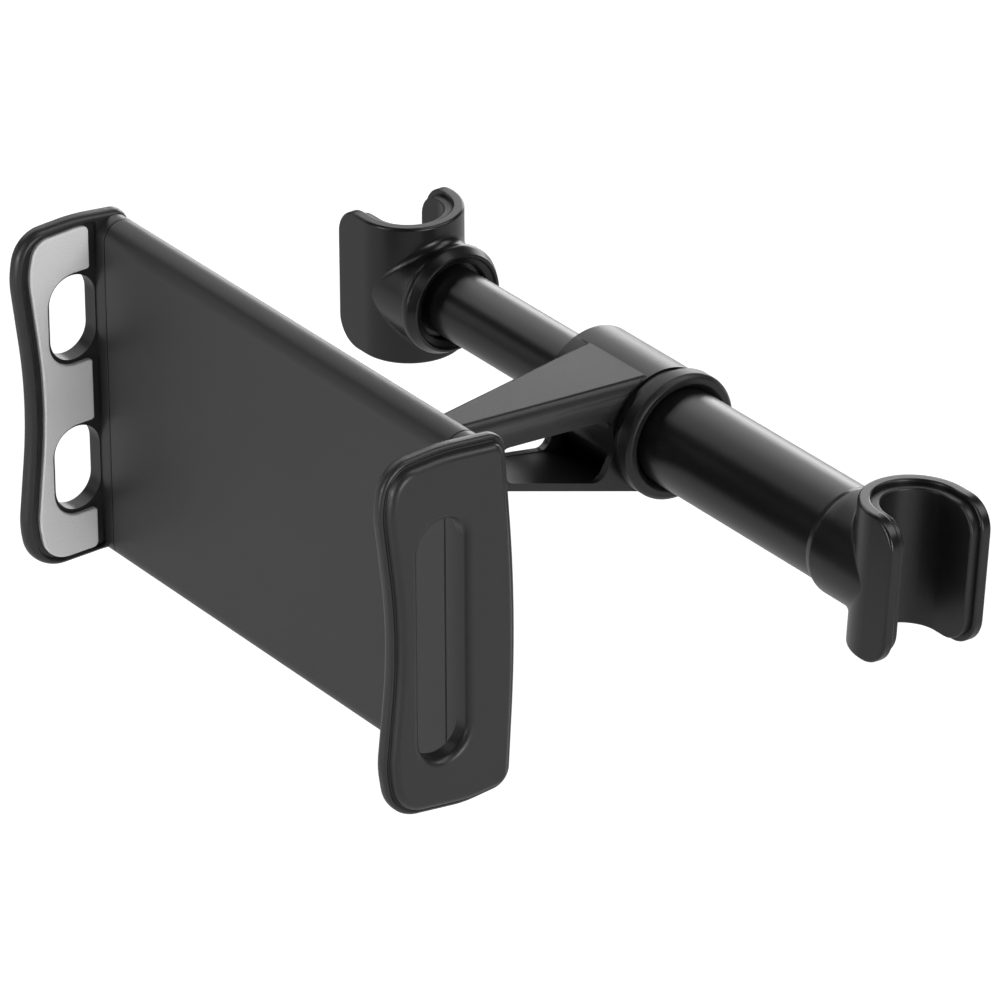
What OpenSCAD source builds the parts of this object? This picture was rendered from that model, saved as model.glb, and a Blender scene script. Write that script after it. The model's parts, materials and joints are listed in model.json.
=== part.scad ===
// Headrest tablet holder: a telescopic bar with a hook at each end for the
// headrest posts, a hollow arm that turns on the bar, and a ball-jointed cradle
// whose two sprung jaws grip a tablet.
//
// Frame: origin in the middle of the right-hand post channel, X along the bar,
// Y away from the tablet, Z up. All sizes are millimetres.

/* [Bar] */
// Outside diameter of the thick tube
outer_tube_d = 20; // [18:0.5:22]
// Wall of the thick tube
outer_tube_wall = 1.5; // [1:0.1:1.8]
// Outside diameter of the thin sliding tube
inner_tube_d = 14.3; // [13:0.1:14.8]
// Wall of the thin tube
inner_tube_wall = 1.2; // [0.8:0.1:1.5]
// Distance between the two headrest posts, as drawn
post_span = 155.4; // [125:0.2:168]
// Length of thin tube kept inside the thick one
tube_overlap = 27; // [24:0.5:28]

// Length of the guide bush inside the thick tube
bush_len = 9; // [7:0.5:10]
// Thickness of the guide bush's flange
bush_flange = 1.5; // [1:0.1:2]
// Length of each plug in the tubes' ends
plug_len = 7; // [6:0.5:7]
// Radius of the lock's stem
lock_stem_r = 2.5; // [2:0.1:3]
// Length of the lock's stem, its head included
lock_stem_len = 10; // [9:0.5:10]
// Radius of the head at the stem's end
lock_head_r = 4.5; // [4:0.1:5]
// Thickness of the head
lock_head_t = 1.4; // [1:0.1:1.6]

/* [Hooks] */
// Outside radius of the hook's closed end, seen along the post
hook_r = 11.2; // [10.6:0.1:12]
// Height of a hook along the post
hook_h = 30.4; // [26:0.2:36]
// Height of a hook's middle over the bar axis
hook_lift = 0.6; // [-1:0.1:1.5]
// Wall of the hard hook shell
hook_wall = 2.4; // [2:0.1:3]
// Thickness of the rubber liner
liner_t = 1.8; // [1.2:0.1:2.2]
// How far the liner lies back from the hook's rims
liner_recess = 1; // [0.5:0.1:1.5]
// Reach of the short prong past the post axis
prong_short = 6.2; // [5.6:0.2:8]
// Reach of the long prong past the post axis
prong_long = 8.8; // [8:0.2:12]
// Corner radius of the prong tips
prong_corner_r = 6; // [3:0.5:6]
// Distance from the right post's axis to the face of its hook's collar
right_collar_reach = 18.3; // [17.6:0.1:20]
// Radius of the right hook's collar, which runs straight into the channel
right_collar_r = 11.1; // [10.8:0.1:12]
// Distance from the left post's axis to the face of its hook's ring
left_collar_reach = 16.1; // [15.6:0.1:18]
// Outside radius of the ring on the left hook's collar
left_ring_r = 11.6; // [11.2:0.1:12]
// Length of that ring
left_ring_len = 3.6; // [3:0.1:5]
// Radius of the left hook's neck behind the ring
left_neck_r = 11; // [9.8:0.1:11.1]
// Bevel on the collars' front edges
collar_bevel = 1; // [0.6:0.1:1.2]
// Hard wall between the tube's end and the channel
hook_floor = 2.7; // [2.4:0.1:3]
// Width of the open gap round the thin tube at its collar
collar_gap = 1.5; // [1:0.1:1.8]
// Depth of that gap
collar_gap_depth = 3; // [2:0.1:4]
// Radius of the screws that hold the hooks on the tubes
hook_screw_r = 1.2; // [1:0.1:1.4]
// Radius of their heads
hook_screw_head_r = 3; // [2.6:0.1:3.2]
// Height of their heads
hook_screw_head_t = 1.2; // [1:0.1:1.4]
// Turn of the right hook about the bar, as drawn
right_hook_turn = 4; // [-10:0.5:10]

/* [Arm] */
// Outside radius of the sleeve round the bar
sleeve_r = 12.3; // [12:0.1:13]
// Length of the sleeve
sleeve_len = 22.2; // [20:0.2:30]
// Distance from the right post to the flange ring's face
ring_to_post = 68.1; // [62:0.1:75]
// Outside radius of the flange ring
ring_r = 13.2; // [12.8:0.1:14]
// Thickness of the flange ring
ring_t = 4; // [3:0.1:4.4]
// Height of the arm's flat top over the bar axis
arm_top_z = 11.8; // [11:0.1:12]
// Half width of the flat top, taken at the bar axis
arm_top_half = 8.66; // [8:0.02:9.4]
// Taper of each side, millimetres per millimetre of reach
arm_taper = 0.146; // [0.13:0.002:0.15]
// How far the sides bulge past the top's edges
arm_bulge = 2.7; // [2.2:0.1:3]
// Height over which the sides bulge
arm_bulge_h = 6; // [5:0.1:7]
// Distance from the bar axis to the arm's nose
arm_reach = 50; // [47:0.5:52]
// Height of the arm's underside at the bar end
arm_bottom_z = -11.8; // [-12:0.1:-11]
// Rise of the underside per millimetre of reach
arm_rise = 0.277; // [0.24:0.005:0.29]
// Wall of the hollow arm
arm_wall = 1.6; // [1.3:0.1:1.9]
// Thickness of the solid nose that the ball's shank passes through
arm_nose_t = 6; // [5:0.2:7]

/* [Ball joint] */
// Radius of the ball
ball_r = 6.5; // [6:0.1:6.8]
// Radius of the ball's neck
ball_neck_r = 3.2; // [2.6:0.1:3.4]
// Length of the neck between the arm's nose and the ball's centre
neck_len = 14; // [13:0.2:16]
// Radius of the ball's threaded shank
stud_r = 1.5; // [1.2:0.1:1.5]
// Length of the ball's shank inside the arm
stud_len = 11; // [10:0.5:14]
// Corner radius of the nut on the shank
stud_nut_r = 3.17; // [2.9:0.01:3.2]
// Thickness of that nut
stud_nut_t = 2.4; // [2:0.1:2.6]
// Outside radius of the socket collar
socket_r = 11; // [10.6:0.1:11.6]
// Outside radius of the ribbed locking nut
nut_r = 14; // [13.4:0.1:14.6]
// Length of the locking nut
nut_len = 12.5; // [11:0.5:13]
// Length of the nut's inturned lip
nut_lip = 2.7; // [2.4:0.1:3]
// Radius of the opening in the nut's lip
nut_mouth_r = 7.2; // [7:0.1:7.4]
// Ribs round the locking nut
nut_ribs = 24; // [12:1:30]

// Thickness of the cup and ring round the ball
seat_t = 1.5; // [1.2:0.1:1.6]

/* [Bushes] */
// Length of the flange ring's sleeve inside the arm
ring_sleeve_len = 10; // [8:0.5:10]
// Gap between the arm's flanks and the flange ring
ring_gap = 0.4; // [0.2:0.1:0.8]
// Length of bare neck between the sleeve and the flange ring
ring_neck = 2.2; // [1.6:0.1:3]
// Length of the plain bush at the sleeve's left end
sleeve_bush_len = 9; // [7:0.5:10]
// Wall of both bushes
bush_wall = 0.9; // [0.7:0.1:1]

/* [Cradle] */
// Width of the plate between the jaws
plate_w = 106.6; // [100:0.2:120]
// Height of the plate
plate_h = 73.3; // [72:0.1:80]
// Thickness of the plate, whose long edges are fully rounded
plate_t = 7.9; // [7.7:0.1:8.4]
// Distance from the ball's centre to the plate's front face
ball_to_plate = 21.9; // [21.4:0.1:24]
// Height of the plate's middle over the bar axis
plate_z = 8.45; // [7.5:0.05:9]
// Wall of the plate's front shell
shell_wall = 1.9; // [1.5:0.1:2]
// Thickness of the rear cover
cover_t = 2; // [1.8:0.1:2.2]
// Radius of the raised boss behind the plate
boss_r = 17; // [15:0.5:20]
// Height of the raised boss
boss_h = 2.5; // [1.5:0.1:3]
// Cover screws, across and up from the plate's middle
screw_x = 41; // [38:0.5:44]
screw_corner_x = 36; // [30:0.5:38]
screw_corner_z = 28.5; // [28:0.1:29]

/* [Jaws] */
// Width of the base strip from the seam to the pad
strip_w = 4.6; // [4.2:0.1:5.2]
// Distance from the seam to the rim's inner edge
rim_in = 2.6; // [2:0.1:3]
// Thickness of the rim
rim_t = 3; // [3:0.1:3.8]
// Step of the outer panel in from the rim's outline
panel_step = 1.2; // [0.5:0.1:1.4]
// Rise of the outer panel past the rim
panel_rise = 1.7; // [1.5:0.1:2]
// Width of the rim round the pad
rim_w = 3.6; // [3:0.1:4]
// Thickness of the silicone pad
pad_t = 1; // [0.8:0.1:1.1]
// Gap round the silicone pad
pad_gap = 0.6; // [0.3:0.1:0.8]
// Width of the right jaw's long slot
slot_w = 11.1; // [10:0.1:13]
// Front edge of the long slot, ahead of the plate's face
slot_front = 11.1; // [9:0.1:11.2]
// Height of the right jaw's long slot
slot_h = 50; // [40:0.2:54]
// Height of the long slot's middle over the plate's middle
slot_z = -0.7; // [-3:0.1:2]
// Width of each hole in the left jaw
hole_w = 9.3; // [9:0.1:11]
// Front edge of these holes, ahead of the plate's face
hole_front = 9.5; // [9:0.1:10.5]
// Height of each hole in the left jaw
hole_h = 17.4; // [16:0.2:20]
// Distance between the left jaw's two holes
hole_pitch = 32.7; // [30:0.1:34]
// Height of the point midway between the left jaw's holes
hole_z = 0.7; // [-2:0.1:3]

/* [Jaw drive] */
// Module of the pinion and the racks
gear_module = 1; // [1:0.25:1]
// Teeth on the pinion
pinion_teeth = 16; // [14:2:16]
// Radius of the pin that the pinion turns on
pinion_pin_r = 2; // [1.5:0.1:2.5]
// Length of each rack arm
rack_len = 103; // [98:0.5:104]
// Depth of the rack arms behind their teeth
rack_arm_h = 6.25; // [5:0.25:6.5]
// Length of each plain guide arm
guide_len = 60; // [54:1:66]
// Outside radius of the two extension springs
spring_r = 1.8; // [1.5:0.1:1.9]
// Radius of the spring wire
spring_wire_r = 0.25; // [0.2:0.01:0.3]
// Coils of each spring
spring_coils = 12; // [8:1:13]

/* [Fits] */
// Radial clearance where one piece turns or slides in another
run_fit = 0.06; // [0.03:0.01:0.1]
// Clearance beside the jaws' arms inside the plate
arm_fit = 0.2; // [0.15:0.05:0.3]
// Clearance between the ball joint's round faces
ball_fit = 0.3; // [0.25:0.05:0.35]
// Seam between the plate's end and each jaw
seam = 0.15; // [0.1:0.05:0.3]

/* [Hidden] */
$fn = 96;
e = 0.01;

tube_r = outer_tube_d / 2;
tube_bore_r = tube_r - outer_tube_wall;
thin_r = inner_tube_d / 2;
thin_bore_r = thin_r - inner_tube_wall;

ring_x = -ring_to_post;
sleeve_right_x = ring_x - ring_t - ring_neck;
sleeve_left_x = sleeve_right_x - sleeve_len;
arm_x = ring_x - 15.9;
left_post_x = -post_span;

// The thick tube runs from just past the sleeve's left end into the right hook.
tube_left_x = sleeve_left_x - 0.6;
plug_x = -(hook_r - hook_wall + hook_floor);
tube_right_x = plug_x;
thin_left_x = left_post_x - plug_x;
thin_right_x = tube_left_x + tube_overlap;
collet_right_x = thin_right_x + lock_stem_len - lock_head_t - 0.3;

channel_r = hook_r - hook_wall;
post_r = channel_r - liner_t;
bush_r = tube_r + run_fit;
sleeve_bore_r = bush_r + bush_wall;
arm_side_half = arm_top_half + arm_bulge;
arm_lean = atan(arm_taper);

seat_in_r = ball_r + ball_fit;
seat_out_r = seat_in_r + seat_t;
socket_in_r = seat_out_r + ball_fit;
ball_y = -(arm_reach + neck_len);
socket_end_y = 3;

plate_y = ball_y - ball_to_plate;
plate_half = plate_w / 2;
cavity_half_h = plate_h / 2 - 3.65;
cavity_front = shell_wall;
cavity_back = plate_t - cover_t;
cover_half_h = cavity_half_h - 2;

wall_in = strip_w + pad_t;
rim_out = rim_in + rim_t;
panel_out = rim_out + panel_rise;

pitch_r = gear_module * pinion_teeth / 2;
arm_front = cavity_front + arm_fit;
arm_back = cavity_back - arm_fit;
rack_root_z = pitch_r + 1.25 * gear_module;
rack_back_z = rack_root_z + rack_arm_h;
guide_in_z = rack_root_z + 14.75;
guide_out_z = cavity_half_h - arm_fit - 0.2;
spring_z = rack_back_z + 4;
lug_reach = rack_len - 11;
spring_post_x = plate_half - 3.3;
spring_len = spring_post_x - (lug_reach - plate_half);

// outlines

function unit(v) = v / norm(v);

// Normal on the left of the line from a to b: the inside of an outline drawn anticlockwise.
function inner_normal(a, b) = let (d = unit(b - a)) [-d[1], d[0]];

// Points of an arc of radius r that rounds corner b between a and c.
function corner_arc(a, b, c, r, steps) =
  let (
    u = unit(a - b),
    v = unit(c - b),
    half = acos(u * v) / 2,
    start = b + u * r / tan(half),
    mid = b + unit(u + v) * r / sin(half),
    from = atan2(start[1] - mid[1], start[0] - mid[0]),
    turn = (180 - 2 * half) * sign(u[1] * v[0] - u[0] * v[1])
  )
  [for (i = [0 : steps]) mid + r * [cos(from + turn * i / steps), sin(from + turn * i / steps)]];

// Closed outline from corners [x, y, radius], listed anticlockwise.
function rounded(corners, steps = 8) =
  let (n = len(corners))
  [for (i = [0 : n - 1])
    let (
      a = corners[(i + n - 1) % n],
      b = corners[i],
      c = corners[(i + 1) % n]
    )
    each corner_arc([a[0], a[1]], [b[0], b[1]], [c[0], c[1]], b[2], steps)];

// The same corners moved inward by d, so that the outline stays parallel.
function inset(corners, d) =
  let (n = len(corners))
  [for (i = [0 : n - 1])
    let (
      a = [corners[(i + n - 1) % n][0], corners[(i + n - 1) % n][1]],
      b = [corners[i][0], corners[i][1]],
      c = [corners[(i + 1) % n][0], corners[(i + 1) % n][1]],
      n1 = inner_normal(a, b),
      n2 = inner_normal(b, c),
      p = b + d * (n1 + n2) / (1 + n1 * n2),
      convex = sign(n1[0] * n2[1] - n1[1] * n2[0])
    )
    [p[0], p[1], corners[i][2] - d * convex]];

// Jaw seen along the bar, [y, z, radius] from the plate's front face and middle:
// front edge with a shallow waist, a full nose at the top and a rounder chin.
jaw_corners = [
  [-16.9, 2, 40],
  [-20.2, -34, 12],
  [2, -38.6, 20],
  [10.6, -37.9, 4],
  [12.3, -2, 80],
  [9.8, 36.2, 5],
  [-20.2, 39.3, 12]
];

module stadium(w, h) {
  square([w, h - w], center = true);
  translate([0, (h - w) / 2]) circle(d = w);
  translate([0, -(h - w) / 2]) circle(d = w);
}

// Extrude a [y, z] outline along X.
module along_x(x0, x1) {
  translate([x0, 0, 0]) rotate([90, 0, 90]) linear_extrude(x1 - x0) children();
}

// Extrude an [x, z] outline along Y.
module along_y(y0, y1) {
  translate([0, y1, 0]) rotate([90, 0, 0]) linear_extrude(y1 - y0) children();
}

module cyl_x(x0, x1, r) {
  translate([x0, 0, 0]) rotate([0, 90, 0]) cylinder(h = x1 - x0, r = r);
}

module cyl_y(y0, y1, r) {
  translate([0, y0, 0]) rotate([-90, 0, 0]) cylinder(h = y1 - y0, r = r);
}

// Turn an [r, along] outline about the X axis.
module turned_x() {
  rotate([0, 90, 0]) rotate_extrude() children();
}

// Turn an [r, along] outline about the Y axis.
module turned_y() {
  rotate([-90, 0, 0]) rotate_extrude() children();
}

// Screw along X, head to the left, cross recess in the head.
module screw(head_r, head_h, shank_r, shank_len) {
  difference() {
    union() {
      cyl_x(0, head_h, head_r);
      cyl_x(head_h - e, head_h + shank_len, shank_r);
    }
    translate([-e, -head_r * 0.6, -0.3]) cube([head_h * 0.6, head_r * 1.2, 0.6]);
    translate([-e, -0.3, -head_r * 0.6]) cube([head_h * 0.6, 0.6, head_r * 1.2]);
  }
}

// telescopic bar

module outer_tube() {
  color("dimgray")
    difference() {
      cyl_x(tube_left_x, tube_right_x, tube_r);
      cyl_x(tube_left_x - 1, tube_right_x + 1, tube_bore_r);
    }
}

// Flanged plastic bush in the thick tube's open end, on which the thin tube slides.
module tube_guide_bush() {
  color([0.10, 0.10, 0.10])
    difference() {
      union() {
        cyl_x(tube_left_x - bush_flange, tube_left_x, tube_r - 0.2);
        cyl_x(tube_left_x - e, tube_left_x + bush_len, tube_bore_r);
      }
      cyl_x(tube_left_x - 2, tube_left_x + bush_len + 1, thin_r + run_fit);
    }
}

module inner_tube() {
  color([0.30, 0.30, 0.30])
    difference() {
      cyl_x(thin_left_x, thin_right_x, thin_r);
      cyl_x(thin_left_x - 1, thin_right_x + 1, thin_bore_r);
    }
}

// Plug pressed into the thin tube, with the stem and head that work the lock collet.
module expander_stud() {
  color("silver")
    union() {
      cyl_x(thin_right_x - plug_len, thin_right_x, thin_bore_r);
      cyl_x(thin_right_x - e, thin_right_x + lock_stem_len, lock_stem_r);
      cyl_x(collet_right_x + 0.3, thin_right_x + lock_stem_len, lock_head_r);
    }
}

// Split collet that grips the thick tube's bore when the thin tube is twisted.
module lock_collet() {
  color("gainsboro")
    difference() {
      cyl_x(thin_right_x + 0.3, collet_right_x, tube_bore_r - run_fit);
      cyl_x(thin_right_x, collet_right_x + 1, lock_stem_r + run_fit);
      ring_groove((thin_right_x + collet_right_x) / 2 - 1, 2, tube_bore_r - 0.8);
      translate([thin_right_x, -0.6, 0]) cube([lock_stem_len, 1.2, tube_bore_r]);
    }
}

module ring_groove(x0, w, r) {
  difference() {
    cyl_x(x0, x0 + w, tube_r);
    cyl_x(x0 - 1, x0 + w + 1, r);
  }
}

// hooks

// Plan of a hook round the post: closed end to the left, open to the right.
module channel_plan(r, reach_front, reach_back) {
  circle(r = r);
  translate([0, -r]) square([reach_front, r]);
  translate([0, 0]) square([reach_back, r]);
}

// Block that rounds the prong tips, seen from the front.
module prong_side(reach, h) {
  corner = prong_corner_r;
  polygon(rounded([
    [-hook_r - 1, -h / 2, 0.5],
    [reach, -h / 2, corner],
    [reach, h / 2, corner],
    [-hook_r - 1, h / 2, 0.5]
  ]));
}

// Outline of the right hook's collar: a bevel, then straight into the channel.
function right_collar() = let (face = -right_collar_reach) [
  [0, face],
  [right_collar_r - collar_bevel, face],
  [right_collar_r, face + 2 * collar_bevel],
  [right_collar_r, -hook_r / 2],
  [hook_r - 2, 0],
  [0, 0]
];

// Outline of the left hook's collar: a bevelled ring, then a neck that dies into the prongs.
function left_collar() = let (face = -left_collar_reach) [
  [0, face],
  [left_ring_r - collar_bevel, face],
  [left_ring_r, face + 2 * collar_bevel],
  [left_ring_r, face + left_ring_len],
  [left_neck_r, face + left_ring_len + 0.6],
  [hook_r - 2, 0],
  [0, 0]
];

// Hard shell of a hook. The bore takes the tube; gap_r widens its mouth.
module hook_shell(collar, face_x, bore_r, gap_r) {
  difference() {
    union() {
      translate([0, 0, hook_lift]) intersection() {
        translate([0, 0, -hook_h / 2]) linear_extrude(hook_h)
          channel_plan(hook_r, prong_short, prong_long);
        union() {
          along_y(-hook_r - 1, 0) prong_side(prong_short, hook_h);
          along_y(0, hook_r + 1) prong_side(prong_long, hook_h);
        }
      }
      turned_x() polygon(collar);
    }
    translate([0, 0, -hook_h]) linear_extrude(2 * hook_h)
      channel_plan(channel_r, 30, 30);
    cyl_x(face_x - 1, plug_x, bore_r);
    cyl_x(face_x - 1, face_x + collar_gap_depth, gap_r);
    cyl_x(plug_x - 1, 0, hook_screw_r + 0.2);
    cyl_x(-channel_r - hook_screw_head_t, 0, hook_screw_head_r + 0.1);
  }
}

// Rubber liner of the post channel, set back from the rims and the prong tips.
module hook_liner() {
  h = hook_h - 2 * liner_recess;
  reach_front = prong_short - liner_recess;
  reach_back = prong_long - liner_recess;
  translate([0, 0, hook_lift]) intersection() {
    translate([0, 0, -h / 2]) linear_extrude(h)
      difference() {
        channel_plan(channel_r, reach_front, reach_back);
        channel_plan(post_r, 30, 30);
      }
    union() {
      along_y(-hook_r, 0) prong_side(reach_front, h);
      along_y(0, hook_r) prong_side(reach_back, h);
    }
  }
}

module at_right_post() {
  rotate([-right_hook_turn, 0, 0]) children();
}

module at_left_post() {
  translate([left_post_x, 0, 0]) rotate([0, 0, 180]) children();
}

module right_hook() {
  color([0.09, 0.09, 0.09]) at_right_post()
    hook_shell(right_collar(), -right_collar_reach, tube_r, tube_r);
}

module right_hook_liner() {
  color([0.14, 0.14, 0.14]) at_right_post() hook_liner();
}

module left_hook() {
  color([0.09, 0.09, 0.09]) at_left_post()
    hook_shell(left_collar(), -left_collar_reach, thin_r, thin_r + collar_gap);
}

module left_hook_liner() {
  color([0.14, 0.14, 0.14]) at_left_post() hook_liner();
}

// Plug in the tube's end that the hook's screw bites into.
module tube_plug(r) {
  difference() {
    cyl_x(plug_x - plug_len, plug_x, r);
    cyl_x(plug_x - plug_len + 1, 0, hook_screw_r);
  }
}

module hook_screw() {
  translate([-channel_r, 0, 0]) rotate([0, 0, 180])
    screw(hook_screw_head_r, hook_screw_head_t, hook_screw_r, hook_floor + plug_len - 3.5);
}

module right_tube_plug() {
  color("dimgray") at_right_post() tube_plug(tube_bore_r);
}

module right_hook_screw() {
  color("silver") at_right_post() hook_screw();
}

module left_tube_plug() {
  color("dimgray") at_left_post() tube_plug(thin_bore_r);
}

module left_hook_screw() {
  color("silver") at_left_post() hook_screw();
}

// arm

// Half section of the arm's outside, lateral against height, from far left to the side.
// d draws the hollow: the same form, d smaller all round.
module arm_section(d) {
  side = arm_side_half - d;
  top = arm_top_z - d;
  edge = arm_top_half - d;
  bulge = side - edge;
  polygon(concat(
    [[-60, -30], [side, -30]],
    [for (i = [0 : 6]) let (a = 90 * i / 6)
      [edge + bulge * cos(a), top - arm_bulge_h * (1 - sin(a))]],
    [[-60, top]]
  ));
}

// Everything on one side of the arm's right flank; the flank leans with the taper.
module arm_flank(d) {
  rotate([0, 0, -arm_lean])
    translate([0, 10, 0]) rotate([90, 0, 0]) linear_extrude(90) arm_section(d);
}

module arm_wedge(d, nose) {
  intersection() {
    arm_flank(d);
    mirror([1, 0, 0]) arm_flank(d);
    along_x(-20, 20) polygon([
      [0, arm_top_z - d],
      [-nose, arm_top_z - d],
      [-nose, arm_bottom_z + d + arm_rise * (nose - 6.7)],
      [-6.7, arm_bottom_z + d],
      [0, arm_bottom_z + d]
    ]);
  }
}

// Side window seen along the bar, between the sleeve and the nose.
module arm_window() {
  polygon(rounded([
    [-12.2, 5.5, 2.2],
    [-36.6, 5.5, 1.5],
    [-35, -2.2, 1.5],
    [-14.6, -7.9, 2.5],
    [-11.8, -2.4, 6]
  ]));
}

module arm_body() {
  color([0.20, 0.20, 0.20])
    difference() {
      union() {
        cyl_x(sleeve_left_x, sleeve_right_x, sleeve_r);
        translate([arm_x, 0, 0]) arm_wedge(0, arm_reach);
      }
      translate([arm_x, 0, 0])
        difference() {
          arm_wedge(arm_wall, arm_reach - arm_nose_t);
          cyl_x(-30, 30, sleeve_r - e);
        }
      translate([arm_x, 0, 0]) along_x(-20, 20) arm_window();
      cyl_x(sleeve_left_x - 5, sleeve_right_x + 5, sleeve_bore_r);
      at_ball() cyl_y(0, 30, stud_r);
      at_ball() translate([-3.3, neck_len + arm_nose_t - 0.1, -3]) cube([6.6, 3, 5.8]);
      ring_clearance();
    }
}

// The flanks stop short of the flange ring.
module ring_clearance() {
  cyl_x(ring_x - ring_t - ring_gap, ring_x + 5, ring_r + 0.3);
}

// Flanged bush at the sleeve's right end, bevelled round its mouth.
module flange_ring() {
  color([0.12, 0.12, 0.12])
    turned_x() polygon([
      [bush_r, sleeve_right_x - ring_sleeve_len],
      [sleeve_bore_r, sleeve_right_x - ring_sleeve_len],
      [sleeve_bore_r, sleeve_right_x],
      [sleeve_r - 0.4, sleeve_right_x],
      [sleeve_r - 0.4, ring_x - ring_t],
      [ring_r - 0.5, ring_x - ring_t],
      [ring_r, ring_x - ring_t + 0.5],
      [ring_r, ring_x - 0.8],
      [ring_r - 0.8, ring_x],
      [tube_r + 1.2, ring_x],
      [bush_r, ring_x - 1.2]
    ]);
}

// Plain bush at the sleeve's left end.
module sleeve_bush() {
  color([0.12, 0.12, 0.12])
    difference() {
      cyl_x(sleeve_left_x, sleeve_left_x + sleeve_bush_len, sleeve_bore_r);
      cyl_x(sleeve_left_x - 1, sleeve_left_x + sleeve_bush_len + 1, bush_r);
    }
}

// ball joint

module at_ball() {
  translate([arm_x, ball_y, plate_z]) children();
}

module ball_stud() {
  color("silver") at_ball()
    union() {
      sphere(r = ball_r);
      cyl_y(0, neck_len, ball_neck_r);
      cyl_y(neck_len - e, neck_len + stud_len, stud_r);
    }
}

module stud_nut() {
  color("silver") at_ball()
    difference() {
      translate([0, neck_len + arm_nose_t, 0]) rotate([-90, 0, 0])
        cylinder(h = stud_nut_t, r = stud_nut_r, $fn = 6);
      cyl_y(0, 40, stud_r);
    }
}

// Ring cut from a spherical shell, between two heights along Y.
module shell_zone(r_in, r_out, y0, y1) {
  intersection() {
    difference() {
      circle(r = r_out);
      circle(r = r_in);
    }
    translate([0, y0]) square([r_out + 1, y1 - y0]);
  }
}

// Cup behind the ball, on the plate's side.
module ball_seat() {
  color([0.55, 0.55, 0.55]) at_ball()
    difference() {
      sphere(r = seat_out_r);
      sphere(r = seat_in_r);
      cyl_y(-1.1, 12, 12);
    }
}

// Compression ring ahead of the ball, under the locking nut's lip.
module ball_ring() {
  color([0.55, 0.55, 0.55]) at_ball()
    turned_y() shell_zone(seat_in_r, seat_out_r, seat_in_r * 0.26, seat_in_r * 0.53);
}

module lock_nut() {
  lip_y = socket_end_y + 0.3;
  color([0.11, 0.11, 0.11]) at_ball()
    difference() {
      turned_y() difference() {
        polygon([
          [0, lip_y + nut_lip - nut_len],
          [nut_r - 0.6, lip_y + nut_lip - nut_len],
          [nut_r, lip_y + nut_lip + 0.6 - nut_len],
          [nut_r, lip_y + nut_lip - 1],
          [nut_r - 1, lip_y + nut_lip],
          [0, lip_y + nut_lip]
        ]);
        translate([0, lip_y - nut_len]) square([socket_r + run_fit, nut_len]);
        circle(r = socket_in_r);
        polygon([
          [0, 0],
          [nut_mouth_r, lip_y],
          [nut_mouth_r, lip_y + nut_lip / 2],
          [nut_mouth_r + 0.9, lip_y + nut_lip + e],
          [0, lip_y + nut_lip + e]
        ]);
      }
      for (i = [0 : nut_ribs - 1])
        rotate([0, 360 * i / nut_ribs, 0]) translate([nut_r + 0.3, 0, 0]) cyl_y(-nut_len, 8, 0.8);
    }
}

// cradle

// From here on, x and z are measured from the plate's middle, y from its front face.
module at_plate() {
  translate([arm_x, plate_y, plate_z]) children();
}

module plate_section() {
  translate([plate_t / 2, 0]) stadium(plate_t, plate_h);
}

screw_places = [[-screw_x, 0], [screw_x, 0], [-screw_corner_x, screw_corner_z],
  [screw_corner_x, -screw_corner_z]];

// A rail inside the plate from x0 to x1, between two heights.
module rail(x0, x1, z0, z1) {
  translate([x0, cavity_front - e, z0]) cube([x1 - x0, arm_back - cavity_front + e, z1 - z0]);
}

module front_shell() {
  color([0.18, 0.18, 0.18]) at_plate()
    difference() {
      union() {
        difference() {
          along_x(-plate_half, plate_half) plate_section();
          translate([-plate_half - 1, cavity_front, -cavity_half_h])
            cube([plate_w + 2, cavity_back - cavity_front, 2 * cavity_half_h]);
          translate([-plate_half - 1, cavity_back - e, -cover_half_h - 0.1])
            cube([plate_w + 2, cover_t + 1, 2 * cover_half_h + 0.2]);
        }
        cyl_y(cavity_front - e, arm_back, pinion_pin_r);
        for (p = screw_places)
          translate([p[0], 0, p[1]]) cyl_y(cavity_front - e, cavity_back, 2.8);
        for (s = [-1, 1]) rotate([0, 90 * (1 - s), 0]) {
          rail(-plate_half, plate_half, guide_in_z - 1.4, guide_in_z - 0.5);
          rail(-plate_half, -14, rack_back_z + 0.4, rack_back_z + 1.2);
          translate([spring_post_x, 0, spring_z]) cyl_y(cavity_front - e, arm_back, 1);
        }
      }
      for (p = screw_places)
        translate([p[0], 0, p[1]]) cyl_y(cavity_front + 0.3, cavity_back + 1, 1.1);
    }
}

// Flat cover let into the shell's back, with the raised boss and the ball's socket.
module rear_cover() {
  socket_y = ball_to_plate;
  color([0.16, 0.16, 0.16]) at_plate()
    difference() {
      union() {
        translate([-plate_half, cavity_back, -cover_half_h])
          cube([plate_w, cover_t, 2 * cover_half_h]);
        turned_y() polygon([
          [0, cavity_back],
          [boss_r, cavity_back],
          [boss_r, plate_t + boss_h - 1],
          [boss_r - 1, plate_t + boss_h],
          [socket_r, plate_t + boss_h],
          [socket_r, socket_y + socket_end_y],
          [0, socket_y + socket_end_y]
        ]);
      }
      translate([0, socket_y, 0]) sphere(r = socket_in_r);
      translate([0, socket_y, 0]) cyl_y(0, 5, socket_in_r);
      for (p = screw_places) translate([p[0], 0, p[1]]) {
        cyl_y(cavity_back - 1, plate_t + 1, 1.3);
        cyl_y(plate_t - 1.1, plate_t + 1, 2.6);
      }
    }
}

module cover_screw(i) {
  color("dimgray") at_plate()
    translate([screw_places[i][0], plate_t, screw_places[i][1]])
      rotate([0, 0, -90]) screw(2.5, 1.1, 1.1, 4);
}

module cover_screw_1() { cover_screw(0); }
module cover_screw_2() { cover_screw(1); }
module cover_screw_3() { cover_screw(2); }
module cover_screw_4() { cover_screw(3); }

// jaws
// Drawn for the right-hand side: u = 0 at the plate's end, u grows outward.

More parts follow.
